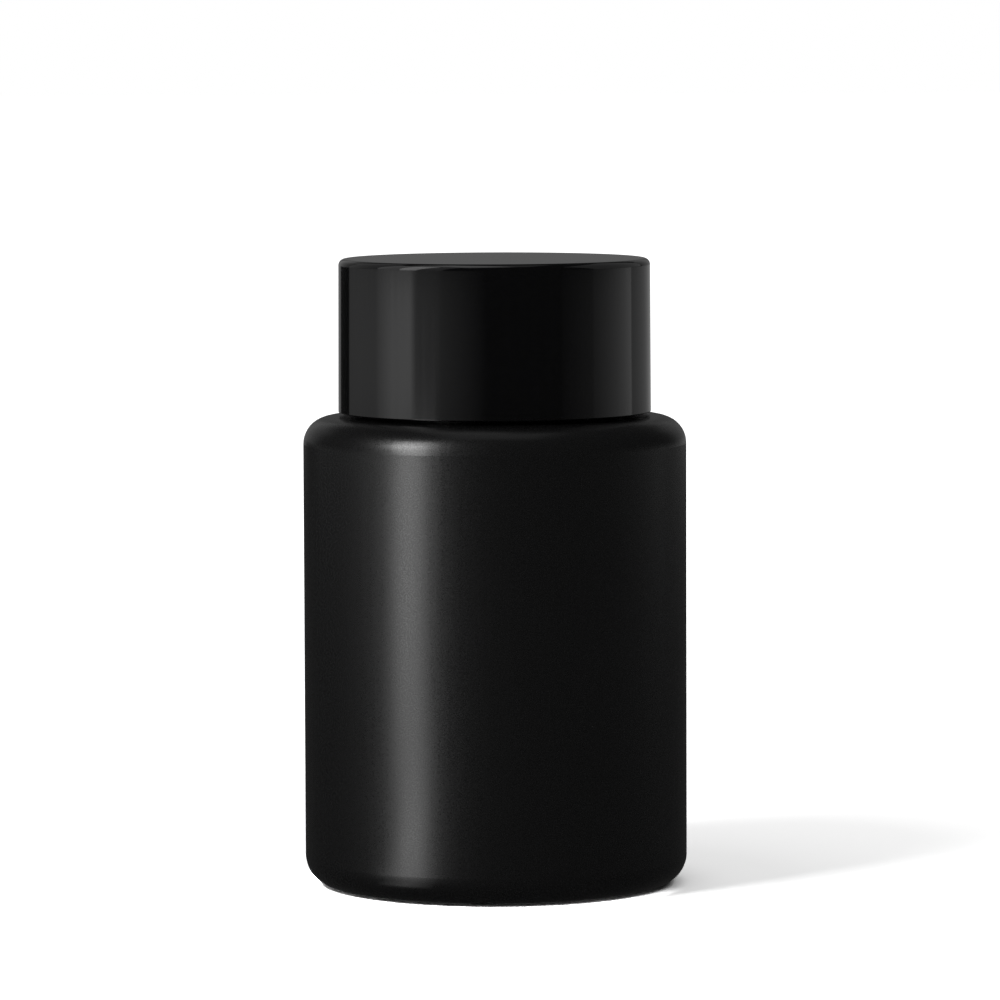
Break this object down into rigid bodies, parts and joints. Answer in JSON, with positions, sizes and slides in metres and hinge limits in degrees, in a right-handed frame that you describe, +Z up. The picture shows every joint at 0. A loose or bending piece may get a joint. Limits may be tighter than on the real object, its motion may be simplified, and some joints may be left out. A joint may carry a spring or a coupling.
{
  "type": "nail polish remover sponge jar",
  "caption": "Round screw-capped jar holding a foam block with a finger bore, soaked in remover, for wiping nails.",
  "frame": {"origin": "centre of the base, on the plane that the jar stands on", "axes": "+Z up along the jar's axis, -Y towards the front, where the registration notch is"},
  "size_m": [0.05, 0.05, 0.0818],
  "materials": {
    "jar_plastic": "satin",
    "collar_plastic": "satin",
    "foam": "matte",
    "pad_foam": "matte",
    "remover": "gloss",
    "liner_foam": "matte",
    "closure_plastic": "satin",
    "cap_gloss": "gloss"
  },
  "bodies": {
    "jar": {"jar_body": "jar_plastic", "neck_collar": "collar_plastic", "sponge": "foam", "sponge_pad": "pad_foam", "remover_fluid": "remover"},
    "liner": {"cap_seal": "liner_foam"},
    "cap": {"cap_insert": "closure_plastic", "cap_shell": "cap_gloss"}
  },
  "joints": [
    {"name": "cap_lift", "type": "slide", "parent": "jar", "child": "liner", "axis": [0, 0, 1], "range_m": [0, 0.03385]},
    {"name": "cap_turn", "type": "hinge", "parent": "liner", "child": "cap", "pos_m": [0, 0, 0.07], "axis": [0, 0, 1], "range_deg": [0, 2880]}
  ],
  "couplings": [
    {"joint": "cap_lift", "follows": "cap_turn", "m_per_rad": 0.00067323}
  ]
}
